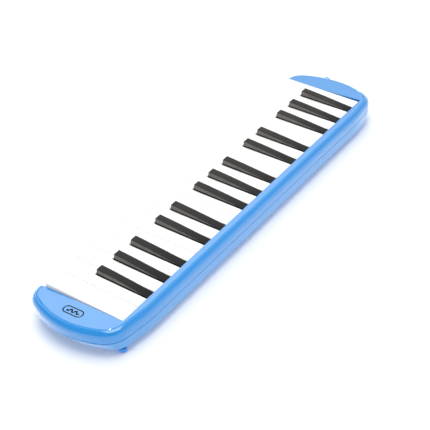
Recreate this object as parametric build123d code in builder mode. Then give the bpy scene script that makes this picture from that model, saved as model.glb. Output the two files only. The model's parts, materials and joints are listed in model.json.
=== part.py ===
from build123d import *
import math
import os

# A 32-key melodica, F3 to C6: two case shells round a keyboard, a wind chamber with
# its reeds, and the small hardware. Lengths are in millimetres.
# Row frame: origin at the centre of the footprint on the table, +X towards the high
# notes, +Y towards the rear rail, +Z up. Most positions below are measured in the
# keyboard frame, which is shifted by (XC, YC) from the row frame.

os.makedirs("parts", exist_ok=True)

# ---------------------------------------------------------------------------
# Driving dimensions
# ---------------------------------------------------------------------------
PITCH = 19.5            # white key to white key
N_WHITE = 19            # low F to high C
KEYS_HALF = N_WHITE * PITCH / 2
XC = -0.45              # middle of the keyboard, off the footprint's centre because the
YC = 1.65               # two ends differ and the front reaches further than the rear
THROUGH = 20.0          # cut length that runs clear of the piece

# case outline, in the keyboard frame
Z_TOP = 27.0            # top face of the rail and the two ends
Z_PART = 16.3           # parting line of the two shells
Z_BOTTOM = 2.0          # underside of the lower shell, held up by the feet
Y_FRONT, Y_FRONT_LOW = -53.3, -51.3   # front edge at the high end and at the low end
Y_REAR = 50.0
Y_END_HIGH, Y_END_LOW = 44.8, 46.5    # rear corners of the ends
REAR_BEND_X = 166.0     # where the rear edge starts to fall towards each end
REAR_BEND_R = 120.0
HIGH_END = (88.0, 126.4, -1.5)     # bowed high end in plan: radius, centre x, centre y
LOW_END = (100.0, -112.8, -6.0)    # bowed low end
HIGH_FOOT = (90.0, 119.0, 2.0)     # the same ends lower down, where the tray draws in
LOW_FOOT = (100.0, -106.8, -6.0)
Z_FOOT = 8.0            # height of that lower line

# keys
TILT = math.radians(3.335)   # fronts high at rest, level with the cover when pressed
PIVOT_Y, PIVOT_Z = 22.4, 18.0
PIVOT = (PIVOT_Y, PIVOT_Z)
ROD_R = 1.0
KEY_GAP = 0.5
BLACK_W = 8.2
NOTCH_HALF = BLACK_W / 2 + 0.85

# rests for the key fronts and for the levers: centre y, depth, top
REST_W = 364.0
FRONT_REST = (-44.2, 4.4, 16.0)
LEVER_REST = (-10.0, 4.0, 17.9)

# wind chamber stack
DECK_TOP = 15.4         # top of the reed block
BLOCK_Z0 = 10.9         # underside of the reed block
TRAY_TOP = 10.5
PALLET_Y = 37.75        # centre line of the valve pads and their holes
SEAT_H = 0.4
DRAIN = (192.3, 40.3)   # button, under the rear corner of the high end
VALVE = (190.0, 35.5)   # hole it works in the chamber's nose
SOCKET = (-14.5, 18.9)  # y, z of the mouthpiece collar's axis
SOCKET_R = 6.4
PORT = (-195.0, SOCKET[0])   # x, y of the air inlet into the block
PORT_R = 3.6

# fastener and foot places, x and y
COVER_SCREWS = [(192, -37), (199, -4), (195, 25), (-192, -37), (-197, 4), (-193, 29)]
CHAMBER_SCREWS = [(x, -5.4) for x in (-168, -104, 104, 168)]
FEET = [(-165, -30), (165, -30), (-165, 30), (165, 30)]
FOOT_R = 6.0
ANCHOR_X = 76.0
STRAP_SCREW_Y = 8.5
STRAP_SCREWS = [(x, y) for x in (-ANCHOR_X, ANCHOR_X) for y in (STRAP_SCREW_Y, -STRAP_SCREW_Y)]

# ---------------------------------------------------------------------------
# Keyboard layout
# ---------------------------------------------------------------------------
WHITE_NAMES = ["f3", "g3", "a3", "b3", "c4", "d4", "e4", "f4", "g4", "a4", "b4",
               "c5", "d5", "e5", "f5", "g5", "a5", "b5", "c6"]
# white-key boundary: name, offset from that boundary in pitches
BLACKS = {1: ("f3_sharp", -0.158), 2: ("g3_sharp", 0.0), 3: ("a3_sharp", 0.158),
          5: ("c4_sharp", -0.083), 6: ("d4_sharp", 0.083),
          8: ("f4_sharp", -0.158), 9: ("g4_sharp", 0.0), 10: ("a4_sharp", 0.158),
          12: ("c5_sharp", -0.083), 13: ("d5_sharp", 0.083),
          15: ("f5_sharp", -0.158), 16: ("g5_sharp", 0.0), 17: ("a5_sharp", 0.158)}


def key_x(units):
    """X of a place counted in white-key pitches from the low end."""
    return (units - N_WHITE / 2) * PITCH


def black_x(boundary):
    return key_x(boundary + BLACKS[boundary][1])


def white_front(index):
    """X limits of a white key at its full width."""
    return key_x(index) + KEY_GAP / 2, key_x(index + 1) - KEY_GAP / 2


def white_tail(index):
    """X limits of a white key between its black neighbours."""
    x0, x1 = white_front(index)
    if index in BLACKS:
        x0 = black_x(index) + NOTCH_HALF
    if index + 1 in BLACKS:
        x1 = black_x(index + 1) - NOTCH_HALF
    return x0, x1


# file name, x of the lever, kind, white index or black boundary
LEVERS = [("white_key_" + note, sum(white_tail(i)) / 2, "white", i)
          for i, note in enumerate(WHITE_NAMES)]
LEVERS += [("black_key_" + note, black_x(b), "black", b) for b, (note, _) in BLACKS.items()]
LEVERS.sort(key=lambda lever: lever[1])
LEVER_X = [lever[1] for lever in LEVERS]


def between(i):
    """X midway between lever i and the next one up."""
    return (LEVER_X[i] + LEVER_X[i + 1]) / 2


# ---------------------------------------------------------------------------
# Planes and shared helpers
# ---------------------------------------------------------------------------
def level(z):
    """Horizontal plane at height z, centred on the keyboard."""
    return Plane(origin=(XC, YC, z))


def section(x):
    """Upright plane across the case at x; local x is row +Y, local y is up."""
    return Plane(origin=(XC + x, YC, 0), x_dir=(0, 1, 0), z_dir=(1, 0, 0))


def key_level(height):
    """Plane parallel to the resting white key tops, height above them."""
    top = Plane(origin=(XC, YC + PIVOT_Y, Z_TOP), x_dir=(1, 0, 0),
                z_dir=(0, math.sin(TILT), math.cos(TILT)))
    return top.offset(height)


def along(y):
    """Distance from the pivot along the sloping key top, at row depth y."""
    return (y - PIVOT_Y) / math.cos(TILT)


def top_z(y):
    return Z_TOP + (PIVOT_Y - y) * math.tan(TILT)


# These two draw into the sketch that is open where they are called.
def discs(radius, *places, mode=Mode.ADD):
    with Locations(*places):
        Circle(radius, mode=mode)


def boxes(width, depth, *places, mode=Mode.ADD):
    with Locations(*places):
        Rectangle(width, depth, mode=mode)


def save(builder, name):
    builder.part.label = name
    export_step(builder.part, f"parts/{name}.step")


# ---------------------------------------------------------------------------
# Plans of the case
# ---------------------------------------------------------------------------
def end_x(end, y):
    """X of a bowed end at depth y."""
    radius, centre_x, centre_y = end
    return centre_x + math.copysign(math.sqrt(radius ** 2 - (y - centre_y) ** 2), centre_x)


def case_outline(high, low, front_r, rear_r):
    """Face with a straight front, bowed ends and gently falling rear corners."""
    high_front, high_rear = end_x(high, Y_FRONT), end_x(high, Y_END_HIGH)
    low_front, low_rear = end_x(low, Y_FRONT_LOW), end_x(low, Y_END_LOW)
    with BuildSketch(Plane.XY) as plan:
        with BuildLine():
            Line((low_front, Y_FRONT_LOW), (high_front, Y_FRONT))
            ThreePointArc((high_front, Y_FRONT), (high[1] + high[0], high[2]),
                          (high_rear, Y_END_HIGH))
            Line((high_rear, Y_END_HIGH), (REAR_BEND_X, Y_REAR))
            Line((REAR_BEND_X, Y_REAR), (-REAR_BEND_X, Y_REAR))
            Line((-REAR_BEND_X, Y_REAR), (low_rear, Y_END_LOW))
            ThreePointArc((low_rear, Y_END_LOW), (low[1] - low[0], low[2]),
                          (low_front, Y_FRONT_LOW))
        make_face()
        fillet([v for v in plan.vertices() if abs(abs(v.X) - REAR_BEND_X) < 0.5],
               radius=REAR_BEND_R)
        fillet([v for v in plan.vertices() if v.Y < Y_FRONT_LOW + 0.5], radius=front_r)
        fillet([v for v in plan.vertices()
                if min(abs(v.X - high_rear), abs(v.X - low_rear)) < 0.3 and v.Y > 40],
               radius=rear_r)
    return plan.sketch.faces()[0]


CASE_PLAN = case_outline(HIGH_END, LOW_END, front_r=18.0, rear_r=22.0)
FOOT_PLAN = case_outline(HIGH_FOOT, LOW_FOOT, front_r=15.0, rear_r=14.0)


def inset_plan(face, inset=0.0):
    """Adds a plan, drawn in by inset, to the open sketch."""
    add(face)
    if inset:
        offset(amount=-inset, mode=Mode.REPLACE)


# ---------------------------------------------------------------------------
# Top cover: one ring with rounded shoulders round the keyboard
# ---------------------------------------------------------------------------
SHOULDER_R = 6.0
WALL = 2.2
OPEN_LOW = 1.7          # gap beside the lowest key
OPEN_HIGH = 0.7         # gap beside the highest key
OPEN_W = 2 * KEYS_HALF + OPEN_LOW + OPEN_HIGH
OPEN_X = (OPEN_HIGH - OPEN_LOW) / 2
RAIL_Y = 39.7           # front edge of the rear rail
FRONT_CLEAR_Y = -70.0   # the key opening is cut forward to here
SKIRT_T = 1.6           # skirt round the key opening
SIDE_SKIRT_Y, SIDE_SKIRT_L = -9.75, 100.5
SIDE_SKIRT_Z, REAR_SKIRT_Z = 17.0, 23.6   # lower edges of the skirt
BAR_TOP = 19.3          # top of the low bar under the key fronts
SHELF_Y = -46.6         # rear edge of the shelf behind that bar
SHELF_CUT = 20.0        # shelf runs this far forward, into the front wall
POST_Z = 12.1           # lower end of the screw posts
COLLAR_CUT_X = -230.0   # the collar opening is cut from outside the low end
COLLAR_HOLE_R = SOCKET_R + 0.1

with BuildPart() as top_hollow:
    with BuildSketch(level(Z_PART - 1)):
        inset_plan(CASE_PLAN, WALL)
    extrude(amount=Z_TOP - WALL - Z_PART + 1)
    fillet(top_hollow.faces().sort_by(Axis.Z)[-1].edges(), radius=SHOULDER_R - WALL)
    # material kept as a skirt round the key opening and a shelf before the key fronts
    with BuildSketch(level(SIDE_SKIRT_Z)):
        boxes(SKIRT_T, SIDE_SKIRT_L, (-KEYS_HALF - OPEN_LOW - SKIRT_T / 2, SIDE_SKIRT_Y))
        boxes(SKIRT_T, SIDE_SKIRT_L, (KEYS_HALF + OPEN_HIGH + SKIRT_T / 2, SIDE_SKIRT_Y))
    extrude(amount=THROUGH, mode=Mode.SUBTRACT)
    with BuildSketch(level(REAR_SKIRT_Z)):
        boxes(OPEN_W + 3.0, SKIRT_T, (OPEN_X, RAIL_Y + SKIRT_T / 2))
    extrude(amount=THROUGH, mode=Mode.SUBTRACT)
    with BuildSketch(level(BAR_TOP - WALL)):
        boxes(OPEN_W + 1.0, SHELF_CUT, (OPEN_X, SHELF_Y - SHELF_CUT / 2))
    extrude(amount=WALL, mode=Mode.SUBTRACT)

with BuildPart() as top_cover:
    with BuildSketch(level(Z_PART)):
        inset_plan(CASE_PLAN)
    extrude(amount=Z_TOP - Z_PART)
    fillet(top_cover.faces().sort_by(Axis.Z)[-1].edges(), radius=SHOULDER_R)
    add(top_hollow.part, mode=Mode.SUBTRACT)
    # key opening, open to the front above the low bar
    with BuildSketch(level(BAR_TOP)):
        boxes(OPEN_W, RAIL_Y - FRONT_CLEAR_Y, (OPEN_X, (RAIL_Y + FRONT_CLEAR_Y) / 2))
    extrude(amount=THROUGH, mode=Mode.SUBTRACT)
    # screw posts and their blind holes
    with BuildSketch(level(POST_Z)):
        discs(3.2, *COVER_SCREWS)
    extrude(amount=Z_TOP - 1.2 - POST_Z)
    with BuildSketch(level(POST_Z)):
        discs(1.42, *COVER_SCREWS)
    extrude(amount=9.5, mode=Mode.SUBTRACT)
    # round opening for the mouthpiece collar
    with BuildSketch(section(COLLAR_CUT_X)):
        discs(COLLAR_HOLE_R, SOCKET)
    extrude(amount=30, mode=Mode.SUBTRACT)
save(top_cover, "top_cover")

# ---------------------------------------------------------------------------
# Bottom cover: shallow tray, upright along the sides, drawn in at the ends, with
# an undercut all round
# ---------------------------------------------------------------------------
UNDERCUT_H = 5.6        # height of the undercut
UNDERCUT_W = 9.0        # and how far it draws in
GROOVE = 0.6            # open line between the two shells
BAND_H = 1.0            # upright band along the top edge
BAND_INSET = 0.2
Z_BAND = Z_PART - GROOVE - BAND_H
Z_FLOOR = 4.2
LOWER_WALL = 2.35
HOLLOW_FOOT_H = 4.9     # height of the hollow below its sloping sides
HOLLOW_BEVEL = (6.95, 4.63)   # chamfer along the hollow's floor: width, height
LIP_OUTER, LIP_INNER = 2.5, 3.7   # insets of the locating lip
LIP_Z, LIP_H = 14.2, 2.75
ROOT_Z = Z_FLOOR - 0.5  # rests and bosses start inside the floor
BOSS_TOP = 8.3          # top of the wide screw bosses
HOLE_TOP = 13.0         # upper end of the holes cut from below

with BuildSketch(Plane.XY) as lip_inside:
    inset_plan(CASE_PLAN, LIP_INNER)

with BuildPart() as bottom_hollow:
    with BuildSketch(level(Z_FLOOR)):
        inset_plan(FOOT_PLAN, LOWER_WALL)
    extrude(amount=HOLLOW_FOOT_H)
    base = bottom_hollow.faces().sort_by(Axis.Z)[0]
    chamfer(base.edges(), length=HOLLOW_BEVEL[0], length2=HOLLOW_BEVEL[1], reference=base)
    with BuildSketch(level(Z_FLOOR + HOLLOW_FOOT_H)):
        inset_plan(FOOT_PLAN, LOWER_WALL)
    with BuildSketch(level(Z_BAND)):
        inset_plan(CASE_PLAN, BAND_INSET + LOWER_WALL)
    loft(ruled=True)
    with BuildSketch(level(Z_BAND)):
        inset_plan(CASE_PLAN, BAND_INSET + LOWER_WALL)
    extrude(amount=10)

with BuildPart() as bottom_cover:
    with BuildSketch(level(Z_BOTTOM)):
        inset_plan(FOOT_PLAN)
    extrude(amount=Z_FOOT - Z_BOTTOM)
    base = bottom_cover.faces().sort_by(Axis.Z)[0]
    chamfer(base.edges(), length=UNDERCUT_W, length2=UNDERCUT_H, reference=base)
    with BuildSketch(level(Z_FOOT)):
        inset_plan(FOOT_PLAN)
    with BuildSketch(level(Z_BAND)):
        inset_plan(CASE_PLAN, BAND_INSET)
    loft(ruled=True)
    with BuildSketch(level(Z_BAND)):
        inset_plan(CASE_PLAN, BAND_INSET)
    extrude(amount=BAND_H)
    fillet(bottom_cover.faces().sort_by(Axis.Z)[-1].edges(), radius=0.35)
    add(bottom_hollow.part, mode=Mode.SUBTRACT)
    # locating lip inside the top cover
    with BuildSketch(level(LIP_Z)):
        inset_plan(CASE_PLAN, LIP_OUTER)
        add(lip_inside.sketch.faces()[0], mode=Mode.SUBTRACT)
    extrude(amount=LIP_H)
    # rests under the key fronts and under the levers
    for rest_y, rest_depth, rest_top in (FRONT_REST, LEVER_REST):
        with BuildSketch(level(ROOT_Z)):
            boxes(REST_W, rest_depth, (0, rest_y))
        extrude(amount=rest_top - ROOT_Z)
    # screw bosses, the cover's ones stepped
    with BuildSketch(level(ROOT_Z)):
        discs(4.2, *COVER_SCREWS)
        discs(2.2, *CHAMBER_SCREWS)
    extrude(amount=BOSS_TOP - ROOT_Z)
    with BuildSketch(level(8.0)):
        discs(3.4, *COVER_SCREWS)
    extrude(amount=4.0)
    # clear the lip round the collar, the screw shafts, heads, feet and drain button
    with BuildSketch(section(COLLAR_CUT_X)):
        discs(COLLAR_HOLE_R, SOCKET)
    extrude(amount=40, mode=Mode.SUBTRACT)
    with BuildSketch(level(0)):
        discs(1.65, *COVER_SCREWS)
        discs(1.35, *CHAMBER_SCREWS)
        discs(4.15, DRAIN)
        discs(1.05, *STRAP_SCREWS)
    extrude(amount=HOLE_TOP, mode=Mode.SUBTRACT)
    for recess_r, recess_top, places in ((3.0, 6.3, COVER_SCREWS), (2.5, 3.6, CHAMBER_SCREWS),
                                         (FOOT_R + 0.05, 2.6, FEET)):
        with BuildSketch(level(0)):
            discs(recess_r, *places)
        extrude(amount=recess_top, mode=Mode.SUBTRACT)
save(bottom_cover, "bottom_cover")

# ---------------------------------------------------------------------------
# Wind chamber, gasket and reed block share one plan
# ---------------------------------------------------------------------------
TRAY_Z0 = 6.4
TRAY_WALL = 1.5
CH_X0, CH_X1 = -185.0, 186.0
CH_Y0, CH_Y1 = -3.0, 42.5
INLET_X0 = -200.5       # low edge of the inlet foot
INLET_W, INLET_D = 17.5, 18.0
INLET_Y = -16.5
NECK_W, NECK_D = 7.0, 33.0   # neck from the inlet foot back to the box
NECK = (-186.5, -10.5)
NOSE_X0, NOSE_X1 = 184.0, 194.5
NOSE_MID_X = (NOSE_X0 + NOSE_X1) / 2
NOSE_L, NOSE_D = NOSE_X1 - NOSE_X0, 9.0
NOSE_Z0 = 6.9           # underside of the nose
BEVEL = 2.0             # lower edges taken off by this much
OVERCUT = 0.1           # the bevel cuts start this far outside
TAB_W, TAB_D = 7.0, 4.8  # tabs for the chamber screws


def chamber_plan(inset=0.0, nose=True):
    """Long box under the key tails, a foot under the air inlet and a nose over the drain."""
    boxes(CH_X1 - CH_X0 - 2 * inset, CH_Y1 - CH_Y0 - 2 * inset,
          ((CH_X0 + CH_X1) / 2, (CH_Y0 + CH_Y1) / 2))
    boxes(INLET_W - 2 * inset, INLET_D - 2 * inset, (INLET_X0 + INLET_W / 2, INLET_Y))
    boxes(NECK_W - 2 * inset, NECK_D - 2 * inset, NECK)
    if inset:
        # joins the inset neck to the inset box
        boxes(5.0, 5.0, (-185.0, 2.0))
    if nose:
        boxes(NOSE_L - inset, NOSE_D - 2 * inset, (NOSE_MID_X - inset / 2, VALVE[1]))


with BuildPart() as wind_chamber:
    with BuildSketch(level(TRAY_Z0)):
        chamber_plan(nose=False)
    extrude(amount=TRAY_TOP - TRAY_Z0)
    with BuildSketch(level(NOSE_Z0)):
        boxes(NOSE_L, NOSE_D, (NOSE_MID_X, VALVE[1]))
    extrude(amount=TRAY_TOP - NOSE_Z0)
    with BuildSketch(level(TRAY_Z0 + TRAY_WALL)):
        chamber_plan(TRAY_WALL, nose=False)
    extrude(amount=THROUGH, mode=Mode.SUBTRACT)
    with BuildSketch(level(8.0)):
        boxes(10.0, 6.4, (188.5, VALVE[1]))
    extrude(amount=THROUGH, mode=Mode.SUBTRACT)
    # lower rear edge taken off to follow the case's undercut
    with BuildSketch(section(CH_X0 - 1)):
        with BuildLine():
            Polyline((CH_Y1 + OVERCUT, TRAY_Z0 - OVERCUT), (CH_Y1 + OVERCUT, TRAY_Z0 + BEVEL),
                     (CH_Y1 - BEVEL, TRAY_Z0 - OVERCUT), (CH_Y1 + OVERCUT, TRAY_Z0 - OVERCUT))
        make_face()
    extrude(amount=CH_X1 - CH_X0 + 2, mode=Mode.SUBTRACT)
    # lower outer edge of the inlet foot
    with BuildSketch(Plane(origin=(XC, YC - 26.5, 0), x_dir=(1, 0, 0), z_dir=(0, -1, 0))):
        with BuildLine():
            inlet_corner = (INLET_X0 - OVERCUT, TRAY_Z0 - OVERCUT)
            Polyline(inlet_corner, (INLET_X0 + BEVEL + OVERCUT, TRAY_Z0 - OVERCUT),
                     (INLET_X0 - OVERCUT, TRAY_Z0 + BEVEL + OVERCUT), inlet_corner)
        make_face()
    extrude(amount=-20, mode=Mode.SUBTRACT)
    # tabs for the chamber screws
    with BuildSketch(level(8.4)):
        boxes(TAB_W, TAB_D, *CHAMBER_SCREWS)
    extrude(amount=TRAY_TOP - 8.4)
    with BuildSketch(level(0)):
        discs(1.3, *CHAMBER_SCREWS)
    extrude(amount=THROUGH, mode=Mode.SUBTRACT)
    # drain hole
    with BuildSketch(level(5.0)):
        discs(1.9, VALVE)
    extrude(amount=4, mode=Mode.SUBTRACT)
save(wind_chamber, "wind_chamber")

with BuildPart() as chamber_gasket:
    with BuildSketch(level(TRAY_TOP)):
        chamber_plan()
    extrude(amount=BLOCK_Z0 - TRAY_TOP)
    with BuildSketch(level(TRAY_TOP)):
        chamber_plan(TRAY_WALL)
    extrude(amount=1, mode=Mode.SUBTRACT)
save(chamber_gasket, "chamber_gasket")

# ---------------------------------------------------------------------------
# Reed block: deck over the chamber with valve seats, rod brackets and reed cells
# ---------------------------------------------------------------------------
PLATE_T = 1.0
PLATE_Z = BLOCK_Z0 - PLATE_T   # underside of the reed plates
REED_Y1 = 39.5          # rear end of every reed slot
CELL_Y1 = 40.8          # rear end of every cell
CELL_EXTRA = 4.5        # cell length beyond its reed
CELL_H = 3.0            # height of the cells and of the blind screw holes
SINK = 0.2              # raised features start this far inside the deck
BRACKET_TOP = 20.0
BRACKETS = [-183.3] + [between(i) for i in range(2, 31, 3)] + [LEVER_X[-1] + 4.3]
PLATE_SCREWS = [(x, 0.9) for x in (-170, -90, -12, 12, 90, 170)]
PLATE_SCREWS += [(between(i), 30.0) for i in (1, 7, 13, 17, 23, 29)]


def reed_size(x):
    """Width and length of the reed at x, falling from the low end to the high end."""
    share = (x - LEVER_X[0]) / (LEVER_X[-1] - LEVER_X[0])
    return 2.8 - 0.8 * share, 32.0 - 17.0 * share


with BuildPart() as reed_block:
    with BuildSketch(level(BLOCK_Z0)):
        chamber_plan()
    extrude(amount=DECK_TOP - BLOCK_Z0)
    with BuildSketch(level(BLOCK_Z0)):
        boxes(TAB_W, TAB_D, *CHAMBER_SCREWS)
    extrude(amount=3.6)
    # raised seats under the valve pads
    with BuildSketch(level(DECK_TOP - SINK)):
        boxes(7.0, 6.2, *[(x, PALLET_Y) for x in LEVER_X])
    extrude(amount=SEAT_H + SINK)
    # brackets that hold the pivot rod
    with BuildSketch(level(DECK_TOP - SINK)):
        boxes(2.0, 5.0, *[(x, PIVOT_Y) for x in BRACKETS])
    extrude(amount=BRACKET_TOP - DECK_TOP + SINK)
    with BuildSketch(section(-190)):
        discs(ROD_R + 0.02, PIVOT)
    extrude(amount=380, mode=Mode.SUBTRACT)
    # one cell over each reed
    with BuildSketch(level(BLOCK_Z0)):
        for x in LEVER_X:
            cell_length = reed_size(x)[1] + CELL_EXTRA
            boxes(6.6, cell_length, (x, CELL_Y1 - cell_length / 2))
    extrude(amount=CELL_H, mode=Mode.SUBTRACT)
    # valve holes and the air inlet
    with BuildSketch(level(BLOCK_Z0)):
        boxes(5.0, 4.4, *[(x, PALLET_Y) for x in LEVER_X])
        discs(PORT_R, PORT)
    extrude(amount=10, mode=Mode.SUBTRACT)
    for hole_r, places in ((1.22, CHAMBER_SCREWS), (0.92, PLATE_SCREWS)):
        with BuildSketch(level(BLOCK_Z0)):
            discs(hole_r, *places)
        extrude(amount=CELL_H, mode=Mode.SUBTRACT)
save(reed_block, "reed_block")

# ---------------------------------------------------------------------------
# Reed plates and tongues
# ---------------------------------------------------------------------------
PLATE_Y, PLATE_D = 19.75, 41.9
PLATE_SPLIT_X = between(15)
TONGUE_GAP = 0.03       # below the plates
TONGUE_T = 0.22
TONGUE_SHIFT = 0.9      # tongues sit this far forward of their slots
TONGUE_EXTRA = 1.4      # tongue length beyond its slot
ROOT_T = 0.52           # pads at the front roots of the tongues


def reed_plate(name, x0, x1):
    """Flat plate from x0 to x1 with a slot for each reed and its screw holes."""
    with BuildPart() as plate:
        with BuildSketch(level(PLATE_Z)):
            boxes(x1 - x0, PLATE_D, ((x0 + x1) / 2, PLATE_Y))
            for x in LEVER_X:
                if x0 < x < x1:
                    width, length = reed_size(x)
                    boxes(width + 0.2, length, (x, REED_Y1 - length / 2), mode=Mode.SUBTRACT)
            discs(1.0, *[place for place in PLATE_SCREWS if x0 < place[0] < x1],
                  mode=Mode.SUBTRACT)
        extrude(amount=PLATE_T)
    save(plate, name)


reed_plate("reed_plate_low", -181.0, PLATE_SPLIT_X - 0.5)
reed_plate("reed_plate_high", PLATE_SPLIT_X + 0.5, 183.5)

with BuildPart() as reed_tongues:
    with BuildSketch(level(PLATE_Z - TONGUE_GAP - TONGUE_T)):
        for x in LEVER_X:
            width, length = reed_size(x)
            boxes(width, length + TONGUE_EXTRA, (x, REED_Y1 - length / 2 - TONGUE_SHIFT))
    extrude(amount=TONGUE_T)
    with BuildSketch(level(PLATE_Z - TONGUE_GAP - ROOT_T)):
        boxes(3.2, 1.8, *[(x, REED_Y1 - reed_size(x)[1] - TONGUE_SHIFT) for x in LEVER_X])
    extrude(amount=ROOT_T)
save(reed_tongues, "reed_tongues")

# ---------------------------------------------------------------------------
# Pivot rod, spring comb and felts
# ---------------------------------------------------------------------------
ROD_OVERHANG = 1.4      # beyond the middle of the outermost brackets
COMB_T = 0.35
LEAF_W = 2.2
FELT_T = 1.55

with BuildPart() as key_pivot_rod:
    with BuildSketch(section(BRACKETS[0] - ROD_OVERHANG)):
        discs(ROD_R, PIVOT)
    extrude(amount=BRACKETS[-1] - BRACKETS[0] + 2 * ROD_OVERHANG)
    chamfer(key_pivot_rod.edges().filter_by(GeomType.CIRCLE), length=0.25)
save(key_pivot_rod, "key_pivot_rod")

with BuildPart() as key_spring_comb:
    with BuildSketch(level(DECK_TOP)):
        boxes(366, 4.4, (0, 2.2))
    extrude(amount=COMB_T)
    # one leaf per lever, rising towards the rear
    for x in LEVER_X:
        with BuildSketch(section(x - LEAF_W / 2)):
            with BuildLine():
                Polyline((3.4, DECK_TOP), (12.4, 18.05), (12.2, 18.40),
                         (3.2, DECK_TOP + COMB_T), (3.4, DECK_TOP))
            make_face()
        extrude(amount=LEAF_W)
save(key_spring_comb, "key_spring_comb")

with BuildPart() as key_stop_felts:
    for rest_y, rest_depth, rest_top in (FRONT_REST, LEVER_REST):
        with BuildSketch(level(rest_top)):
            boxes(REST_W, rest_depth - 0.2, (0, rest_y))
        extrude(amount=FELT_T)
save(key_stop_felts, "key_stop_felts")

# ---------------------------------------------------------------------------
# Mouthpiece collar with its elbow down to the chamber, and the seal under it
# ---------------------------------------------------------------------------
COLLAR_X = -213.5       # outer end of the collar
COLLAR_L = 12.3
SOCKET_BORE_R, SOCKET_BORE_L = 5.0, 11.2
SEAL_T = 0.8
ELBOW_X = -195.6
ELBOW_W, ELBOW_D, ELBOW_H = 12.6, 11.2, 8.2
PASSAGE_X, PASSAGE_Z = -203.0, 20.4   # passage from the bore to the port
PASSAGE_R, PASSAGE_L = 2.7, 11.6

with BuildPart() as mouthpiece_socket:
    with BuildSketch(section(COLLAR_X)):
        discs(SOCKET_R, SOCKET)
    extrude(amount=COLLAR_L)
    fillet(mouthpiece_socket.edges().filter_by(GeomType.CIRCLE).sort_by(Axis.X)[0], radius=0.8)
    with BuildSketch(level(DECK_TOP + SEAL_T)):
        with Locations((ELBOW_X, SOCKET[0])):
            RectangleRounded(ELBOW_W, ELBOW_D, 2.5)
    extrude(amount=ELBOW_H)
    with BuildSketch(section(COLLAR_X)):
        discs(SOCKET_BORE_R, SOCKET)
    extrude(amount=SOCKET_BORE_L, mode=Mode.SUBTRACT)
    with BuildSketch(section(PASSAGE_X)):
        discs(PASSAGE_R, (SOCKET[0], PASSAGE_Z))
    extrude(amount=PASSAGE_L, mode=Mode.SUBTRACT)
    with BuildSketch(level(15.0)):
        discs(PORT_R, PORT)
    extrude(amount=5.6, mode=Mode.SUBTRACT)
save(mouthpiece_socket, "mouthpiece_socket")

with BuildPart() as socket_seal:
    with BuildSketch(level(DECK_TOP)):
        discs(5.4, PORT)
        discs(PORT_R + 0.1, PORT, mode=Mode.SUBTRACT)
    extrude(amount=SEAL_T)
save(socket_seal, "socket_seal")

# ---------------------------------------------------------------------------
# Drain: pressing the button lifts the seal off the hole in the chamber's nose
# ---------------------------------------------------------------------------
STEM_R = 1.1            # also half the width of the arm
SPRING_R = 1.8
SPRING_Z = 8.95

with BuildPart() as drain_button:
    with BuildSketch(level(1.0)):
        discs(4.0, DRAIN)
    extrude(amount=4.2)
    fillet(drain_button.faces().sort_by(Axis.Z)[0].edges(), radius=1.2)
    # arm from the button to the stem
    with BuildSketch(level(4.3)):
        with BuildLine():
            arm_start = (VALVE[0] - STEM_R, VALVE[1] - 1.0)
            Polyline(arm_start, (VALVE[0] + STEM_R, VALVE[1] - 1.0),
                     (DRAIN[0] + STEM_R, DRAIN[1]), (DRAIN[0] - STEM_R, DRAIN[1]), arm_start)
        make_face()
    extrude(amount=0.9)
    # stem up to the seal
    with BuildSketch(level(4.6)):
        discs(STEM_R, VALVE)
    extrude(amount=3.35)
save(drain_button, "drain_button")

with BuildPart() as drain_seal:
    with BuildSketch(level(8.02)):
        discs(2.6, VALVE)
    extrude(amount=0.7)
save(drain_seal, "drain_seal")

with BuildPart() as drain_spring:
    with BuildLine():
        coil = Helix(pitch=0.56, height=1.5, radius=SPRING_R,
                     center=(XC + VALVE[0], YC + VALVE[1], SPRING_Z))
    with BuildSketch(Plane(origin=coil @ 0, z_dir=coil % 0)):
        Circle(0.2)
    sweep(is_frenet=True)
save(drain_spring, "drain_spring")


# ---------------------------------------------------------------------------
# Screws: each set is one piece, heads down
# ---------------------------------------------------------------------------
def screws(name, places, shank_z, shank_r, shank_l, head_r, head_h, slots=(), slot_depth=0.0):
    """Shanks up from shank_z, heads below it; slots are (x size, y size) cuts in the heads."""
    with BuildPart() as screw_set:
        with BuildSketch(level(shank_z)):
            discs(shank_r, *places)
        extrude(amount=shank_l)
        with BuildSketch(level(shank_z - head_h)):
            discs(head_r, *places)
        extrude(amount=head_h)
        if slots:
            with BuildSketch(level(shank_z - head_h)):
                for slot in slots:
                    boxes(*slot, *places)
            extrude(amount=slot_depth, mode=Mode.SUBTRACT)
    save(screw_set, name)


screws("reed_plate_screws", PLATE_SCREWS, shank_z=PLATE_Z, shank_r=0.9, shank_l=3.6,
       head_r=1.7, head_h=0.9, slots=[(2.2, 0.4)], slot_depth=0.4)
screws("cover_screws", COVER_SCREWS, shank_z=6.3, shank_r=1.4, shank_l=13.7,
       head_r=2.8, head_h=1.4, slots=[(3.4, 0.7), (0.7, 3.4)], slot_depth=0.8)
screws("chamber_screws", CHAMBER_SCREWS, shank_z=3.6, shank_r=1.2, shank_l=10.1,
       head_r=2.3, head_h=1.2, slots=[(2.8, 0.6), (0.6, 2.8)], slot_depth=0.7)
screws("strap_screws", STRAP_SCREWS, shank_z=1.2, shank_r=1.0, shank_l=2.9,
       head_r=2.0, head_h=0.7)

# ---------------------------------------------------------------------------
# Feet and hand strap
# ---------------------------------------------------------------------------
ANCHOR_Z = 0.45

with BuildPart() as rubber_feet:
    with BuildSketch(level(0)):
        discs(FOOT_R, *FEET)
    extrude(amount=2.6)
    chamfer(rubber_feet.faces().group_by(Axis.Z)[0].edges(), length=0.5)
save(rubber_feet, "rubber_feet")

with BuildPart() as hand_strap:
    with BuildSketch(level(0.5)):
        Rectangle(2 * (ANCHOR_X - 5.2), 24)
    extrude(amount=1.2)
save(hand_strap, "hand_strap")

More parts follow.
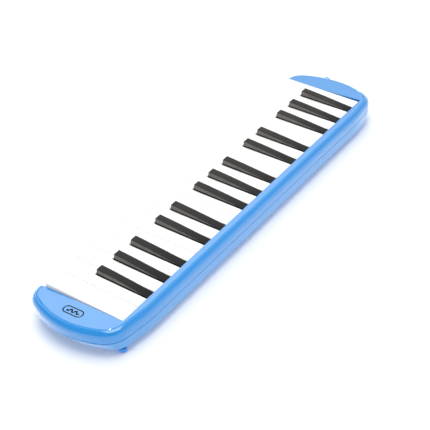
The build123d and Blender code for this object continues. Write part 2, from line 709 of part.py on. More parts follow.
with BuildPart() as strap_anchors:
    with BuildSketch(level(ANCHOR_Z)):
        with Locations((-ANCHOR_X, 0), (ANCHOR_X, 0)):
            RectangleRounded(10, 28, 2)
        discs(1.1, *STRAP_SCREWS, mode=Mode.SUBTRACT)
    extrude(amount=1.5)
    # recesses for the screw heads
    with BuildSketch(level(ANCHOR_Z)):
        discs(2.1, *STRAP_SCREWS)
    extrude(amount=0.75, mode=Mode.SUBTRACT)
save(strap_anchors, "strap_anchors")

# ---------------------------------------------------------------------------
# Keys: a hollow top, a lever rib to the pivot, a paddle and its valve pad
# ---------------------------------------------------------------------------
FRONT_Y = -45.1         # front edge of the white keys
REAR_Y = 39.0           # rear edge of the visible key tops
KEY_SHELL = 1.3
KEY_TOP_T = 1.8
KEY_DEPTH = 6.0
FRONT_SKIRT = 9.5       # depth of a white key's front
SKIRT_BLOCK = 6.0       # length of the deeper front before hollowing
FRONT_WALL = 1.6
BLACK_FRONT_Y = -15.9
NOTCH_Y = BLACK_FRONT_Y - 0.9   # front of the notches in the white keys
BLACK_H = 5.0           # above the white tops at the front
BLACK_BASE = -4.5       # lower edge, from the white tops
BLACK_DRAFT = 0.12      # inward lean of a black key's sides per mm of height
BLACK_DRAFT_H = 8.0     # height the leaning sides are drawn to
BLACK_LEAN = 0.5        # how far the front face leans back
RIB_T = 3.0
RIB_TAIL_Y = REAR_Y - 2.0
RIB_SINK = 1.2          # rib reaches to this far below the key top
HUB_R, HUB_W = 2.4, 5.8
KEY_HOLE_R = 1.05
PADDLE_Z = 17.4
# y, z down the rib's tail and forward along its underside
RIB_UNDERSIDE = [(RIB_TAIL_Y, 20.6), (41.3, 20.0), (41.3, PADDLE_Z), (33.0, PADDLE_Z),
                 (26.0, 16.4), (19.5, 17.2), (6.0, 19.8), (-10.0, 21.5)]
RIB_RISE = 0.1          # slope of the underside forward of the last point
PAD_Z = DECK_TOP + SEAT_H + 0.03   # just above the seat
PAD_TOP = PADDLE_Z - 0.04          # just below the paddle


def white_outline(index):
    """Corners of a white key in its key_level plane, from the front low corner."""
    x0, x1 = white_front(index)
    tail_x0, tail_x1 = white_tail(index)
    front, notch, rear = along(FRONT_Y), along(NOTCH_Y), along(REAR_Y)
    points = [(x0, front), (x1, front)]
    if tail_x1 < x1 - 0.01:
        points += [(x1, notch), (tail_x1, notch)]
    points += [(tail_x1, rear), (tail_x0, rear)]
    if tail_x0 > x0 + 0.01:
        points += [(tail_x0, notch), (x0, notch)]
    return points + points[:1]


def white_top(index):
    """Hollow white key top with a deeper front."""
    x0, x1 = white_front(index)
    mid_x, width = (x0 + x1) / 2, x1 - x0
    front = along(FRONT_Y)
    outline = white_outline(index)
    with BuildPart() as top:
        with BuildSketch(key_level(0)):
            with BuildLine():
                Polyline(*outline)
            make_face()
        extrude(amount=-KEY_DEPTH)
        with BuildSketch(key_level(0)):
            boxes(width, SKIRT_BLOCK, (mid_x, front + SKIRT_BLOCK / 2))
        extrude(amount=-FRONT_SKIRT)
        with BuildSketch(key_level(-KEY_TOP_T)):
            with BuildLine():
                Polyline(*outline)
            make_face()
            offset(amount=-KEY_SHELL, kind=Kind.INTERSECTION, mode=Mode.REPLACE)
        extrude(amount=-THROUGH, mode=Mode.SUBTRACT)
        # below the sides only the front wall stays
        with BuildSketch(key_level(-KEY_DEPTH)):
            boxes(width + 2, 20, (mid_x, front + FRONT_WALL + 10))
        extrude(amount=-THROUGH, mode=Mode.SUBTRACT)
        up = key_level(0).z_dir
        front_corners = [e for e in top.edges()
                         if abs(abs(e.tangent_at(0).dot(up)) - 1) < 1e-3
                         and e.center().Y < YC + FRONT_Y + 0.3 and e.length > 5]
        fillet(front_corners, radius=1.2)
        top_face = top.faces().sort_by(Axis(key_level(0).origin, up))[-1]
        fillet(top_face.edges(), radius=0.55)
    return top.part


def black_top(lever_x):
    """Hollow black key top with a leaning front, drafted sides and a dished crown."""
    front, rear = along(BLACK_FRONT_Y), along(REAR_Y)
    crown_front = front + BLACK_LEAN
    side = Plane(origin=(XC + lever_x - BLACK_W / 2, YC + PIVOT_Y, Z_TOP),
                 x_dir=(0, math.cos(TILT), -math.sin(TILT)), z_dir=(1, 0, 0))
    ahead = Plane(origin=key_level(0).from_local_coords((lever_x, front - 2, 0)),
                  x_dir=(1, 0, 0), z_dir=(0, -math.cos(TILT), math.sin(TILT)))
    with BuildPart() as top:
        with BuildSketch(side):
            with BuildLine():
                Polyline((rear, BLACK_BASE), (front, BLACK_BASE), (front, 0.0),
                         (crown_front, BLACK_H))
                ThreePointArc((crown_front, BLACK_H), ((crown_front + rear) / 2, 3.0),
                              (rear, 0.15))
                Line((rear, 0.15), (rear, BLACK_BASE))
            make_face()
        extrude(amount=BLACK_W)
        # keep what lies between the drafted sides
        with BuildSketch(ahead):
            with BuildLine():
                half = BLACK_W / 2
                half_top = half - BLACK_DRAFT * BLACK_DRAFT_H
                Polyline((-half, -6), (half, -6), (half, 0), (half_top, BLACK_DRAFT_H),
                         (-half_top, BLACK_DRAFT_H), (-half, 0), (-half, -6))
            make_face()
        extrude(amount=-(rear - front + 6), mode=Mode.INTERSECT)
        with BuildSketch(key_level(-1.2)):
            boxes(BLACK_W - 2.4, rear - front - 2.6, (lever_x, (front + rear) / 2))
        extrude(amount=-10, mode=Mode.SUBTRACT)
        up = key_level(0).z_dir
        crown = [e for e in top.edges()
                 if (e.center() - key_level(0).origin).dot(up) > 0.6 and e.length > 0.5]
        fillet(crown, radius=0.5)
    return top.part


def build_key(name, lever_x, kind, index):
    if kind == "white":
        top, rib_y = white_top(index), -38.0
    else:
        top, rib_y = black_top(lever_x), -13.0
    under_y, under_z = RIB_UNDERSIDE[-1]
    rib_start = (rib_y, top_z(rib_y) - RIB_SINK)
    with BuildPart() as key:
        add(top)
        # rib from under the top down to the pivot and back to the tail
        with BuildSketch(section(lever_x - RIB_T / 2)):
            with BuildLine():
                Polyline(rib_start, (RIB_TAIL_Y, top_z(RIB_TAIL_Y) - RIB_SINK), *RIB_UNDERSIDE,
                         (rib_y, under_z + (under_y - rib_y) * RIB_RISE), rib_start)
            make_face()
        extrude(amount=RIB_T)
        # hub, paddle and pivot hole
        with BuildSketch(section(lever_x - HUB_W / 2)):
            discs(HUB_R, PIVOT)
        extrude(amount=HUB_W)
        with BuildSketch(level(PADDLE_Z)):
            boxes(7.4, 7.1, (lever_x, PALLET_Y))
        extrude(amount=1.6)
        with BuildSketch(section(lever_x - 8)):
            discs(KEY_HOLE_R, PIVOT)
        extrude(amount=16, mode=Mode.SUBTRACT)
        # valve pad under the paddle
        with BuildSketch(level(PAD_Z)):
            boxes(7.2, 6.8, (lever_x, PALLET_Y))
        extrude(amount=PAD_TOP - PAD_Z)
    save(key, name)


for lever in LEVERS:
    build_key(*lever)
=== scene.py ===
"""Looks and studio for a small reed keyboard in a blue case, with white keys from F3 to C6.

The keyboard runs along X with the high notes at +X. The keys pivot on a rod behind them and
point to -Y, the front. +Z is up, and the hand strap lies under the case.
"""
import bpy
import bmesh
import json
import math
from functools import cached_property
from mathutils import Vector, Matrix


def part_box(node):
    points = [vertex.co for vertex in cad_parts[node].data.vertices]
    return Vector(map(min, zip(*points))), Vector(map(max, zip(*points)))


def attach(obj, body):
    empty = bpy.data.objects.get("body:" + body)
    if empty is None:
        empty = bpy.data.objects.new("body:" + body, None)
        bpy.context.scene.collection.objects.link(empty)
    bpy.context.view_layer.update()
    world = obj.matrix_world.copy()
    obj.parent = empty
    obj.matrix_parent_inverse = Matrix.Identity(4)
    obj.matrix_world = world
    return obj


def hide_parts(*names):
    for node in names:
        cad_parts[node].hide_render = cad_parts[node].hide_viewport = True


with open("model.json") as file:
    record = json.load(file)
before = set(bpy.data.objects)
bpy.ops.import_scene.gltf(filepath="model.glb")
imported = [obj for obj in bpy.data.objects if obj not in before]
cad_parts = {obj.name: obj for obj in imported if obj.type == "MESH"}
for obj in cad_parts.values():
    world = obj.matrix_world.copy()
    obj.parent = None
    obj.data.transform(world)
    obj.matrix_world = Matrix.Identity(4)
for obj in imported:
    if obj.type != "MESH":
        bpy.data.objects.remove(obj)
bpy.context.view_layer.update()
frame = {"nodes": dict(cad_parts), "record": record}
scene = bpy.context.scene
MM = 0.001

# ---------------------------------------------------------------- places read from the frame
KEYS_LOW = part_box("white_key_f3")[0]
KEYS_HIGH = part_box("white_key_c6")[1]
ROD_LOW, ROD_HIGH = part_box("key_pivot_rod")
ROD_Y = (ROD_LOW.y + ROD_HIGH.y) / 2
CENTRE_X = (KEYS_LOW.x + KEYS_HIGH.x) / 2     # middle of the keyboard
CENTRE_Y = ROD_Y - 22.4 * MM                  # design zero in depth
TOP_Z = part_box("top_cover")[1].z
STRAP_LOW, STRAP_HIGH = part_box("hand_strap")
KEY_TILT = math.radians(3.335)                # the white tops rise this much towards the front


# ---------------------------------------------------------------- shader graph helpers
class Graph:
    """A node tree. Values given to its methods are plain numbers or node outputs."""

    def __init__(self, tree):
        self.tree = tree
        tree.nodes.clear()

    @cached_property
    def coord(self):
        return self.node("TexCoord")

    def feed(self, socket, value):
        if isinstance(value, bpy.types.NodeSocket):
            self.tree.links.new(value, socket)
        else:
            socket.default_value = value

    def node(self, kind, inputs=None, **settings):
        """Adds a node; inputs are keyed by socket name or index."""
        node = self.tree.nodes.new("ShaderNode" + kind)
        for key, value in settings.items():
            setattr(node, key, value)
        for key, value in (inputs or {}).items():
            self.feed(node.inputs[key], value)
        return node

    def calc(self, operation, a, b):
        return self.node("Math", {0: a, 1: b}, operation=operation).outputs[0]

    def dot(self, vector, direction):
        unit = Vector(direction).normalized()
        node = self.node("VectorMath", {0: vector, 1: unit}, operation="DOT_PRODUCT")
        return node.outputs["Value"]

    def split(self, vector):
        return self.node("SeparateXYZ", {0: vector}).outputs

    def map_range(self, value, source, to, **settings):
        node = self.node("MapRange", {
            "Value": value,
            "From Min": source[0],
            "From Max": source[1],
            "To Min": to[0],
            "To Max": to[1],
        }, **settings)
        return node.outputs[0]

    def ramp(self, value, stops):
        """Colour ramp through (position, colour) stops."""
        node = self.node("ValToRGB", {"Fac": value})
        elements = node.color_ramp.elements
        elements[0].position, elements[0].color = stops[0]
        elements[1].position, elements[1].color = stops[-1]
        for position, colour in stops[1:-1]:
            elements.new(position).color = colour
        return node.outputs["Color"]

    def mix(self, factor, a, b):
        """Mixes two colours; sockets 6 and 7 are the colour pair of the Mix node."""
        return self.node("Mix", {0: factor, 6: a, 7: b}, data_type="RGBA").outputs[2]


class Material(Graph):
    """A material with one principled shader."""

    def __init__(self, name):
        self.data = bpy.data.materials.new(name)
        self.data.use_nodes = True
        super().__init__(self.data.node_tree)
        output = self.node("OutputMaterial")
        self.shader = self.node("BsdfPrincipled")
        self.feed(output.inputs[0], self.shader.outputs[0])

    def set(self, **inputs):
        """Feeds shader inputs, with underscores for the spaces in their names."""
        for key, value in inputs.items():
            self.feed(self.shader.inputs[key.replace("_", " ")], value)

    def stretched(self, scale):
        node = self.node("Mapping", {"Vector": self.coord.outputs["Object"], "Scale": scale})
        return node.outputs["Vector"]

    def noise(self, scale, detail=3.0, rough=0.5, vector=None):
        node = self.node("TexNoise", {
            "Scale": scale,
            "Detail": detail,
            "Roughness": rough,
            "Vector": vector or self.coord.outputs["Object"],
        })
        return node.outputs["Fac"]

    def tones(self, value, low, high, span=(0.3, 0.7)):
        return self.ramp(value, [(span[0], low), (span[1], high)])

    def bump(self, height, strength, distance):
        inputs = {"Strength": strength, "Distance": distance, "Height": height}
        self.set(Normal=self.node("Bump", inputs).outputs[0])

    def upright(self):
        """0 on faces that look up, 1 on upright ones."""
        normal = self.node("NewGeometry").outputs["Normal"]
        return self.map_range(self.split(normal)["Z"], source=(0.30, 0.80), to=(1.0, 0.0))


def rgb(red, green, blue):
    """sRGB 0-255 to linear."""
    def linear(c):
        c /= 255.0
        return c / 12.92 if c <= 0.04045 else ((c + 0.055) / 1.055) ** 2.4
    return (linear(red), linear(green), linear(blue), 1.0)


def grey(level):
    return (level, level, level, 1)


def shade(colour, factor):
    return tuple(min(1, c * factor) for c in colour[:3]) + (1,)


# ---------------------------------------------------------------- materials
def moulded(name, base, rough, spec=0.5, coat=0.0, variation=0.03, peel=0.02, scuff=0.06):
    """Moulded ABS: slight flow marks in the colour, orange peel, fine scuffs in the gloss."""
    m = Material(name)
    flow = m.noise(scale=9.0, detail=4.0, rough=0.6, vector=m.stretched((1.0, 3.0, 3.0)))
    m.set(Base_Color=m.tones(flow, low=shade(base, 1 - variation),
                             high=shade(base, 1 + variation), span=(0.35, 0.65)))
    grain = m.noise(scale=260.0, detail=3.0, rough=0.55)
    smear = m.noise(scale=38.0, detail=5.0, rough=0.7)
    smeared = m.map_range(smear, source=(0.35, 0.7), to=(rough * 0.75, rough * 1.35))
    scuffed = m.map_range(grain, source=(0.58, 0.8), to=(0.0, scuff))
    m.set(Roughness=m.calc("ADD", smeared, scuffed), IOR=1.5, Specular_IOR_Level=spec)
    m.bump(m.noise(scale=420.0, detail=2.0, rough=0.5), strength=peel, distance=0.2 * MM)
    if coat:
        m.set(Coat_Weight=coat, Coat_Roughness=0.05)
    return m


def white_key_plastic():
    """Ivory ABS whose upright walls carry a faint painted glow: emission that lifts the shade
    in the gaps and on the sides.
    """
    m = moulded("white_key_abs", rgb(250, 250, 248), rough=0.10, coat=0.3,
                variation=0.006, peel=0.01)
    # painted light: a warm emission on the upright faces only
    glow = 0.095
    m.set(Emission_Color=(1.0, 0.95, 0.88, 1),
          Emission_Strength=m.calc("MULTIPLY", m.upright(), glow))
    return m


def black_key_plastic():
    """Black ABS; the upright flanks carry a painted reflection in grey, and painted shade,
    nearly black, down between the white keys.
    """
    spec = 0.20
    m = moulded("black_key_abs", rgb(13, 12, 24), rough=0.20, spec=spec,
                variation=0.12, peel=0.04, scuff=0.08)
    polished = m.shader.inputs["Base Color"].links[0].from_socket
    # painted reflection: the upright flanks get a lighter grey base colour than the black tops
    flank_painted_reflection = m.tones(m.noise(scale=70.0, detail=4.0, rough=0.6),
                    low=rgb(102, 100, 99), high=rgb(128, 125, 121))
    colour = m.mix(m.upright(), polished, flank_painted_reflection)

    # height above the sloping plane of the white tops; upright faces just below it get painted
    # shade, near black and without gloss
    place = m.split(m.coord.outputs["Object"])
    forward = m.calc("SUBTRACT", ROD_Y, place["Y"])
    rise = m.calc("MULTIPLY", forward, math.tan(KEY_TILT))
    height = m.calc("SUBTRACT", m.calc("SUBTRACT", place["Z"], TOP_Z), rise)
    below = m.map_range(height, source=(0.3 * MM, 0.8 * MM), to=(1.0, 0.0))
    slot_painted_shade = m.calc("MULTIPLY", below, m.upright())
    # painted shade in the slots between the white keys
    m.set(Base_Color=m.mix(slot_painted_shade, colour, rgb(3, 3, 4)),
          Specular_IOR_Level=m.map_range(slot_painted_shade, source=(0.0, 1.0), to=(spec, 0.0)))
    return m


def metal(name, base, rough, stretch=(1, 60, 60)):
    """Rolled or plated metal with fine directional brushing and slight tarnish."""
    m = Material(name)
    brushing = m.noise(scale=180.0, detail=4.0, rough=0.6, vector=m.stretched(stretch))
    stain = m.noise(scale=60.0, detail=4.0, rough=0.65)
    m.set(Base_Color=m.tones(stain, low=shade(base, 0.82), high=base),
          Roughness=m.map_range(brushing, source=(0.3, 0.7), to=(rough * 0.8, rough * 1.4)),
          Metallic=1.0)
    m.bump(brushing, strength=0.06, distance=0.1 * MM)
    return m


def soft(name, low, high, noise, bump, **shading):
    """Felt, thread or silicone: one noise drives both the colour and the bump."""
    m = Material(name)
    fibre = m.noise(**noise)
    m.set(Base_Color=m.tones(fibre, low=low, high=high), **shading)
    m.bump(fibre, **bump)
    return m


def foot_rubber():
    m = Material("foot_rubber")
    grain = m.noise(scale=500.0, detail=4.0, rough=0.6)
    patches = m.noise(scale=60.0, detail=3.0, rough=0.5)
    m.set(Base_Color=m.tones(patches, low=rgb(24, 24, 25), high=rgb(44, 43, 42),
                             span=(0.3, 0.75)),
          Roughness=m.map_range(grain, source=(0.3, 0.7), to=(0.6, 0.85)))
    m.bump(grain, strength=0.3, distance=0.3 * MM)
    return m


def webbing():
    """Woven strap: two crossed sets of yarns, from waves along and across the band."""
    m = Material("strap_webbing")

    def yarns(direction, scale, distortion):
        inputs = {"Scale": scale, "Distortion": distortion, "Vector": m.coord.outputs["Object"]}
        node = m.node("TexWave", inputs, wave_type="BANDS", bands_direction=direction,
                      wave_profile="SIN")
        return node.outputs["Fac"]

    along = yarns("X", scale=260.0, distortion=0.6)
    across = yarns("Y", scale=170.0, distortion=0.4)
    lower_along = 0.85      # height of the first set beside the second
    fuzz_share = 0.35
    weave = m.calc("MAXIMUM", m.calc("MULTIPLY", along, lower_along), across)
    fuzz = m.noise(scale=1500.0, detail=3.0, rough=0.7)
    m.set(Base_Color=m.tones(weave, low=rgb(10, 10, 12), high=rgb(46, 46, 52),
                             span=(0.2, 0.9)),
          Roughness=0.8, Sheen_Weight=0.35)
    m.bump(m.calc("ADD", weave, m.calc("MULTIPLY", fuzz, fuzz_share)),
           strength=0.7, distance=0.3 * MM)
    return m


SLOT_MATERIAL = {
    "blue_abs": moulded("blue_abs_top", rgb(22, 141, 221), rough=0.09, coat=1.0,
                        variation=0.02),
    # lower shell: a lighter, paler blue base than the top shell, a painted reflection of the
    # white floor
    "blue_abs_lower": moulded("blue_abs_low", rgb(64, 152, 224), rough=0.12, coat=1.0,
                              variation=0.025),
    "drain_blue": moulded("drain_blue", rgb(8, 138, 236), rough=0.12, coat=0.3),
    "ivory_abs": white_key_plastic(),
    "black_abs": black_key_plastic(),
    "grey_abs": moulded("grey_abs", rgb(150, 152, 158), rough=0.38, variation=0.04,
                        peel=0.05),
}
ANCHOR = moulded("black_abs", rgb(26, 26, 28), rough=0.35, variation=0.12, peel=0.08)
SLOT_MATERIAL.update({
    "reed_brass": metal("reed_brass", rgb(205, 168, 92), rough=0.32),
    "steel": metal("zinc_steel", rgb(178, 180, 184), rough=0.30, stretch=(30, 30, 1)),
    "spring_steel": metal("spring_steel", rgb(150, 152, 156), rough=0.28),
    "felt": soft("red_felt", rgb(96, 16, 20), rgb(150, 34, 38),
                 noise=dict(scale=900.0, detail=5.0, rough=0.75),
                 bump=dict(strength=0.6, distance=0.3 * MM),
                 Roughness=0.95, Sheen_Weight=0.6),
    "seal_rubber": soft("seal_silicone", rgb(206, 202, 192), rgb(222, 219, 210),
                        noise=dict(scale=300.0),
                        bump=dict(strength=0.1, distance=0.2 * MM),
                        Roughness=0.55, Subsurface_Weight=0.15,
                        Subsurface_Radius=(1 * MM, 1 * MM, 1 * MM)),
    "black_rubber": foot_rubber(),
    "strap_webbing": webbing(),
})
PRINT = moulded("mark_print", rgb(10, 10, 13), rough=0.45, spec=0.12, variation=0.1, peel=0.03)
THREAD = soft("strap_thread", rgb(70, 70, 76), rgb(104, 104, 110),
              noise=dict(scale=1400.0, detail=3.0, rough=0.6),
              bump=dict(strength=0.5, distance=0.1 * MM),
              Roughness=0.7, Sheen_Weight=0.4)

slot_of = {part["node"]: part["material_slot"] for part in frame["record"]["subparts"]}
for node_name, part in frame["nodes"].items():
    material = ANCHOR if node_name == "strap_anchors" else SLOT_MATERIAL[slot_of[node_name]]
    part.data.materials.clear()
    part.data.materials.append(material.data)


# ---------------------------------------------------------------- mesh helpers
def add_object(name, bm, material):
    mesh = bpy.data.meshes.new(name)
    bm.to_mesh(mesh)
    bm.free()
    obj = bpy.data.objects.new(name, mesh)
    scene.collection.objects.link(obj)
    mesh.materials.append(material.data)
    return obj


def case_piece(name, bm, material, smooth_angle=None):
    """A piece that rides on the case, smooth below the given angle or else flat shaded."""
    bmesh.ops.recalc_face_normals(bm, faces=bm.faces)
    obj = add_object(name, bm, material)
    if smooth_angle is not None:
        mesh = obj.data
        mesh.polygons.foreach_set("use_smooth", [True] * len(mesh.polygons))
        mesh.set_sharp_from_angle(angle=math.radians(smooth_angle))
    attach(obj, "case")
    return obj


def prism(bm, outline, z_low, z_high, hole=None):
    """Closed flat solid from an outline, with an optional hole of as many points."""
    count = len(outline)
    rings = []
    for points in (outline, hole) if hole else (outline,):
        low = [bm.verts.new((x, y, z_low)) for x, y in points]
        high = [bm.verts.new((x, y, z_high)) for x, y in points]
        rings.append((low, high))
    for low, high in rings:
        for i in range(count):
            j = (i + 1) % count
            bm.faces.new((low[i], low[j], high[j], high[i]))
    low, high = rings[0]
    if hole is None:
        bm.faces.new(low[::-1])
        bm.faces.new(high)
        return
    hole_low, hole_high = rings[1]
    for i in range(count):
        j = (i + 1) % count
        bm.faces.new((low[i], hole_low[i], hole_low[j], low[j]))
        bm.faces.new((high[i], high[j], hole_high[j], hole_high[i]))


def rounded_rectangle(centre_x, centre_y, half_x, half_y, radius, segments=10):
    points = []
    for corner, (side_x, side_y) in enumerate(((1, 1), (-1, 1), (-1, -1), (1, -1))):
        for i in range(segments + 1):
            angle = math.radians(90 * corner + 90 * i / segments)
            points.append((centre_x + side_x * (half_x - radius) + radius * math.cos(angle),
                           centre_y + side_y * (half_y - radius) + radius * math.sin(angle)))
    return points


# ---------------------------------------------------------------- printed mark
MARK_X = CENTRE_X + 197.3 * MM
MARK_Y = CENTRE_Y - 3.4 * MM
MARK_SUNK = 0.02 * MM           # below and above the top of the case
MARK_PROUD = 0.04 * MM
PILL_HALF_X = 4.3 * MM
PILL_HALF_Y = 10.3 * MM
PILL_RADIUS = 4.0 * MM
PILL_LINE = 1.05 * MM
WAVE_LENGTH = 12.6 * MM
WAVE_AMPLITUDE = 1.35 * MM
WAVE_CYCLES = 2.5
WAVE_HALF_LINE = 0.72 * MM
WAVE_STEPS = 72


def wave_outline():
    """A sine line along Y with thickness: up one side and back down the other."""
    points = []
    for side in (1, -1):
        for i in range(WAVE_STEPS + 1):
            u = i / WAVE_STEPS if side == 1 else 1 - i / WAVE_STEPS
            phase = 2 * math.pi * WAVE_CYCLES * u
            x = WAVE_AMPLITUDE * math.sin(phase)
            y = WAVE_LENGTH * (u - 0.5)
            slope = WAVE_AMPLITUDE * math.cos(phase) * 2 * math.pi * WAVE_CYCLES / WAVE_LENGTH
            offset = side * WAVE_HALF_LINE / math.hypot(slope, 1.0)
            points.append((MARK_X + x + offset, MARK_Y + y - offset * slope))
    return points


def printed_mark():
    """A pill outline round a wave line, on the case at the high notes."""
    bm = bmesh.new()
    z_low, z_high = TOP_Z - MARK_SUNK, TOP_Z + MARK_PROUD
    outer, inner = [
        rounded_rectangle(MARK_X, MARK_Y, PILL_HALF_X - inset, PILL_HALF_Y - inset,
                          PILL_RADIUS - inset)
        for inset in (0.0, PILL_LINE)]
    prism(bm, outer, z_low, z_high, hole=inner)
    prism(bm, wave_outline(), z_low, z_high)
    case_piece("printed_mark", bm, PRINT)


printed_mark()

# ---------------------------------------------------------------- hand strap
STRAP_STEPS_X = 280
STRAP_STEPS_Y = 46
STRAP_INSET = 0.01 * MM         # the weave stays this far inside the strap's box
# half thicknesses, as shares of the strap's thickness
BAND_HALF = 0.46
SELVEDGE_BULGE = 0.04
SIDE_HALF = 0.16                # at the outermost rows
END_HALF = 0.22                 # at the two ends
# distances in from a long side, in 1/24 of the width
SIDE_UNITS = 24.0
SELVEDGE_WIDTH = 0.8
YARN_START = 0.6
# relief and slow waviness, as shares of the thickness
TWILL_DEPTH = 0.045
TWILL_PITCH = 2.05 * MM
RIB_DEPTH = 0.03
RIB_PITCH = 1.1 * MM
DRIFT = 0.06
DRIFT_HALF_WAVES = 3

STITCH_FIRST = 2.6 * MM         # from the strap's end to the near and far sewn rows
STITCH_LAST = 13.0 * MM
STITCH_HALF_WIDTH = 9.2 * MM
STITCH_PITCH = 2.3 * MM
STITCH_RADII = (0.78 * MM, 0.26 * MM, 0.16 * MM)
STITCH_RISE = 0.10 * MM         # stitch centres above the strap's underside


def strap_heights(i, j, x, y):
    """Heights of the upper and lower faces at one grid point."""
    thickness = STRAP_HIGH.z - STRAP_LOW.z
    middle = (STRAP_HIGH.z + STRAP_LOW.z) / 2
    u, v = i / STRAP_STEPS_X, j / STRAP_STEPS_Y
    inward = min(v, 1 - v) * SIDE_UNITS
    half = BAND_HALF
    if inward <= SELVEDGE_WIDTH:
        half += SELVEDGE_BULGE * math.sin(math.pi * inward / SELVEDGE_WIDTH)
    if j in (0, STRAP_STEPS_Y):
        half = SIDE_HALF
    if i in (0, STRAP_STEPS_X):
        half = min(half, END_HALF)
    if inward > YARN_START:
        half += TWILL_DEPTH * math.sin(2 * math.pi * (x / TWILL_PITCH + y / TWILL_PITCH))
        half += RIB_DEPTH * math.sin(2 * math.pi * y / RIB_PITCH)
    drift = DRIFT * math.sin(DRIFT_HALF_WAVES * math.pi * u) * thickness
    z_min, z_max = STRAP_LOW.z + STRAP_INSET, STRAP_HIGH.z - STRAP_INSET
    return [max(z_min, min(z_max, middle + drift + side * half * thickness))
            for side in (1, -1)]


def strap_band():
    """Woven band with rolled selvedges."""
    bm = bmesh.new()
    grid = {}
    for i in range(STRAP_STEPS_X + 1):
        for j in range(STRAP_STEPS_Y + 1):
            x = STRAP_LOW.x + (STRAP_HIGH.x - STRAP_LOW.x) * i / STRAP_STEPS_X
            y = STRAP_LOW.y + (STRAP_HIGH.y - STRAP_LOW.y) * j / STRAP_STEPS_Y
            for face, z in enumerate(strap_heights(i, j, x, y)):
                grid[i, j, face] = bm.verts.new((x, y, z))

    def add_face(corners, flip=False):
        verts = [grid[corner] for corner in corners]
        bm.faces.new(verts[::-1] if flip else verts)

    for i in range(STRAP_STEPS_X):
        for j in range(STRAP_STEPS_Y):
            add_face(((i, j, 0), (i + 1, j, 0), (i + 1, j + 1, 0), (i, j + 1, 0)))
            add_face(((i, j, 1), (i, j + 1, 1), (i + 1, j + 1, 1), (i + 1, j, 1)))
        for j in (0, STRAP_STEPS_Y):
            add_face(((i, j, 0), (i, j, 1), (i + 1, j, 1), (i + 1, j, 0)), flip=j > 0)
    for j in range(STRAP_STEPS_Y):
        for i in (0, STRAP_STEPS_X):
            add_face(((i, j, 0), (i, j, 1), (i, j + 1, 1), (i, j + 1, 0)), flip=i == 0)
    strap = case_piece("hand_strap_webbing", bm, SLOT_MATERIAL["strap_webbing"],
                       smooth_angle=60)
    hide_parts("hand_strap")


def sew(bm, start, end):
    """A straight run of stitches, each a flattened ball."""
    (start_x, start_y), (end_x, end_y) = start, end
    run_x, run_y = end_x - start_x, end_y - start_y
    count = max(3, int(math.hypot(run_x, run_y) / STITCH_PITCH))
    turn = Matrix.Rotation(math.atan2(run_y, run_x), 4, "Z")
    for i in range(count):
        t = (i + 0.5) / count
        centre = (start_x + run_x * t, start_y + run_y * t, STRAP_LOW.z + STITCH_RISE)
        matrix = Matrix.Translation(centre) @ turn @ Matrix.Diagonal((*STITCH_RADII, 1))
        bmesh.ops.create_uvsphere(bm, u_segments=10, v_segments=6, radius=1.0, matrix=matrix)


def strap_stitching():
    """Two rows across the strap at each end, with a cross between them."""
    bm = bmesh.new()
    middle_y = (STRAP_LOW.y + STRAP_HIGH.y) / 2
    y_low, y_high = middle_y - STITCH_HALF_WIDTH, middle_y + STITCH_HALF_WIDTH
    for inward, end_x in ((1, STRAP_LOW.x), (-1, STRAP_HIGH.x)):
        first = end_x + inward * STITCH_FIRST
        last = end_x + inward * STITCH_LAST
        sew(bm, (first, y_low), (first, y_high))
        sew(bm, (last, y_low), (last, y_high))
        sew(bm, (first, y_low), (last, y_high))
        sew(bm, (first, y_high), (last, y_low))
    case_piece("strap_stitching", bm, THREAD, smooth_angle=80)


strap_band()
strap_stitching()


# ---------------------------------------------------------------- floor
def white_floor():
    """A matt white floor with a faint glow, stronger where the keyboard mirrors it."""
    glow, mirrored_glow = 0.11, 0.30
    m = Material("floor_white")
    glossy = m.node("LightPath").outputs["Is Glossy Ray"]
    m.set(Roughness=0.9, Base_Color=grey(0.93), Specular_IOR_Level=0.0,
          Emission_Color=grey(1),
          Emission_Strength=m.calc("ADD", m.calc("MULTIPLY", glossy, mirrored_glow), glow))
    bm = bmesh.new()
    bmesh.ops.create_grid(bm, x_segments=2, y_segments=2, size=6.0)
    add_object("floor", bm, m)


scene.view_settings.view_transform = "Standard"
scene.view_settings.look = "None"
white_floor()

# ---------------------------------------------------------------- world
# patches are (direction, sharpness, strength)
DARK_PATCH = ((0.50, 0.46, 0.73), 9.0, 0.85)
GLOSS_PATCH = ((-0.6, 0.72, 0.35), 5.0, 0.45)
LIT_PATCHES = (
    ((-0.50, -0.47, 0.73), 14.0, 2.2),      # key: its mirror image lies in the flat tops
    ((0.2, 0.95, 0.25), 5.0, 0.45),         # rear
    ((0.93, -0.15, 0.33), 6.0, 0.35),       # side
)
# room brightness against the height of the direction
ROOM_LEVEL = 0.74
ROOM = [(0.0, grey(1.0)), (0.22, grey(1.0)), (0.42, grey(0.72)), (0.60, grey(0.55)),
        (0.72, grey(0.60)), (1.0, (0.62, 0.63, 0.65, 1))]
# what glossy faces mirror: white low down, a darker room above a clear line
GLOSS_ROOM = [(0.0, grey(1.15)), (0.225, grey(1.15)), (0.250, grey(0.42)),
              (0.62, grey(0.34)), (1.0, grey(0.40))]
# a mirrored panel and the ring round it, placed by the cosine of the angle from their centre
PANEL_CENTRE = (-0.613, -0.515, 0.599)
RING_COSINE = 0.83
RING_HALF_WIDTH = 0.035
RING_LEVEL = 3.0
PANEL_EDGE = (0.945, 0.965)
PANEL_LEVEL = 2.0
PANEL_FALL = [(0.47, grey(0.30)), (0.52, grey(0.43)), (0.575, grey(0.75)),
              (0.65, grey(1.0)), (1.0, grey(1.0))]


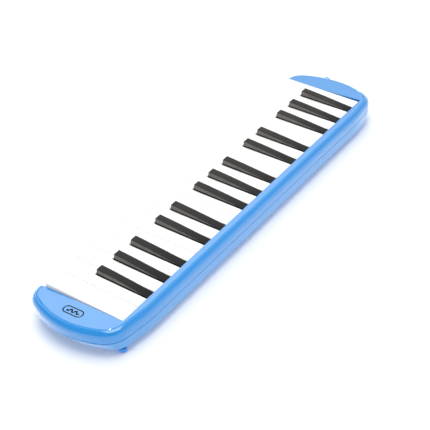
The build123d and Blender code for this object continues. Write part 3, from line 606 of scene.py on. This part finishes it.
def studio_world():
    """White to the camera, one set of lights for shading and another for reflections."""
    world = bpy.data.worlds.new("studio")
    scene.world = world
    world.use_nodes = True
    w = Graph(world.node_tree)
    direction = w.coord.outputs["Generated"]
    height = w.split(direction)["Z"]
    light_path = w.node("LightPath")
    is_gloss = light_path.outputs["Is Glossy Ray"]

    def patch(centre, sharpness, strength):
        facing = w.calc("MAXIMUM", w.dot(direction, centre), 0.0)
        return w.calc("MULTIPLY", w.calc("POWER", facing, sharpness), strength)

    dark = w.calc("SUBTRACT", 1.0, patch(*DARK_PATCH))
    level = w.calc("MULTIPLY", w.ramp(height, ROOM), dark)
    level = w.calc("MULTIPLY", level, ROOM_LEVEL)
    for lit in LIT_PATCHES:
        level = w.calc("ADD", level, patch(*lit))

    cosine = w.dot(direction, PANEL_CENTRE)
    off = w.calc("MULTIPLY", w.calc("SUBTRACT", cosine, RING_COSINE), 1 / RING_HALF_WIDTH)
    ring = w.calc("MAXIMUM", w.calc("SUBTRACT", 1.0, w.calc("MULTIPLY", off, off)), 0.0)
    panel = w.map_range(cosine, source=PANEL_EDGE, to=(0.0, 1.0),
                        interpolation_type="SMOOTHSTEP")
    panel = w.calc("MULTIPLY", panel, w.ramp(height, PANEL_FALL))
    gloss = w.ramp(height, GLOSS_ROOM)
    gloss = w.calc("ADD", gloss, w.calc("MULTIPLY", ring, RING_LEVEL))
    gloss = w.calc("ADD", gloss, w.calc("MULTIPLY", panel, PANEL_LEVEL))
    gloss = w.calc("ADD", gloss, patch(*GLOSS_PATCH))

    shading = w.calc("MULTIPLY", level, w.calc("SUBTRACT", 1.0, is_gloss))
    strength = w.calc("ADD", shading, w.calc("MULTIPLY", gloss, is_gloss))
    tint = w.mix(is_gloss, (0.985, 0.99, 1.0, 1), (1.0, 0.99, 0.86, 1))
    lighting = w.node("Background", {"Color": tint, "Strength": strength})
    backdrop = w.node("Background", {"Color": grey(1), "Strength": 1.0})
    shown = w.node("MixShader", {
        0: light_path.outputs["Is Camera Ray"],
        1: lighting.outputs[0],
        2: backdrop.outputs[0],
    })
    w.node("OutputWorld", {0: shown.outputs[0]})


studio_world()


# ---------------------------------------------------------------- lights
def area_light(name, position, target, size, power):
    light = bpy.data.lights.new(name, "AREA")
    light.shape = "RECTANGLE"
    light.size = size
    light.size_y = size
    light.energy = power
    obj = bpy.data.objects.new(name, light)
    scene.collection.objects.link(obj)
    obj.location = position
    aim = Vector(target) - Vector(position)
    obj.rotation_euler = aim.to_track_quat("-Z", "Y").to_euler()


area_light("overhead_soft", position=(0.15, 0.25, 1.6), target=(0, 0, 0.02),
           size=1.1, power=14.0)
area_light("corner_spot", position=(CENTRE_X - 0.26, CENTRE_Y - 0.51, 1.34),
           target=(CENTRE_X + 0.199, CENTRE_Y + 0.034, 0.027), size=0.035, power=0.6)

# ---------------------------------------------------------------- camera
CAMERA_PLACE = (CENTRE_X + 0.65759, CENTRE_Y + 0.54365, 0.63396)
CAMERA_RIGHT = Vector((-0.5837, 0.8063, -0.0959))
CAMERA_FORWARD = Vector((-0.6130, -0.5150, -0.5992))


def add_camera():
    """A long lens behind and above the high end, looking down at the keyboard."""
    data = bpy.data.cameras.new("camera")
    camera = bpy.data.objects.new("camera", data)
    scene.collection.objects.link(camera)
    data.sensor_width = 36.0
    data.sensor_fit = "HORIZONTAL"
    data.lens = 96.0546977
    data.shift_x = 0.00113953488
    data.shift_y = -0.000651162791
    data.clip_start = 0.05
    data.clip_end = 50
    # the measured axes are squared up round the view direction
    forward = CAMERA_FORWARD.normalized()
    up = CAMERA_RIGHT.normalized().cross(forward).normalized()
    right = forward.cross(up).normalized()
    turn = Matrix((right, up, -forward)).transposed().to_4x4()
    camera.matrix_world = Matrix.Translation(CAMERA_PLACE) @ turn
    scene.camera = camera


add_camera()
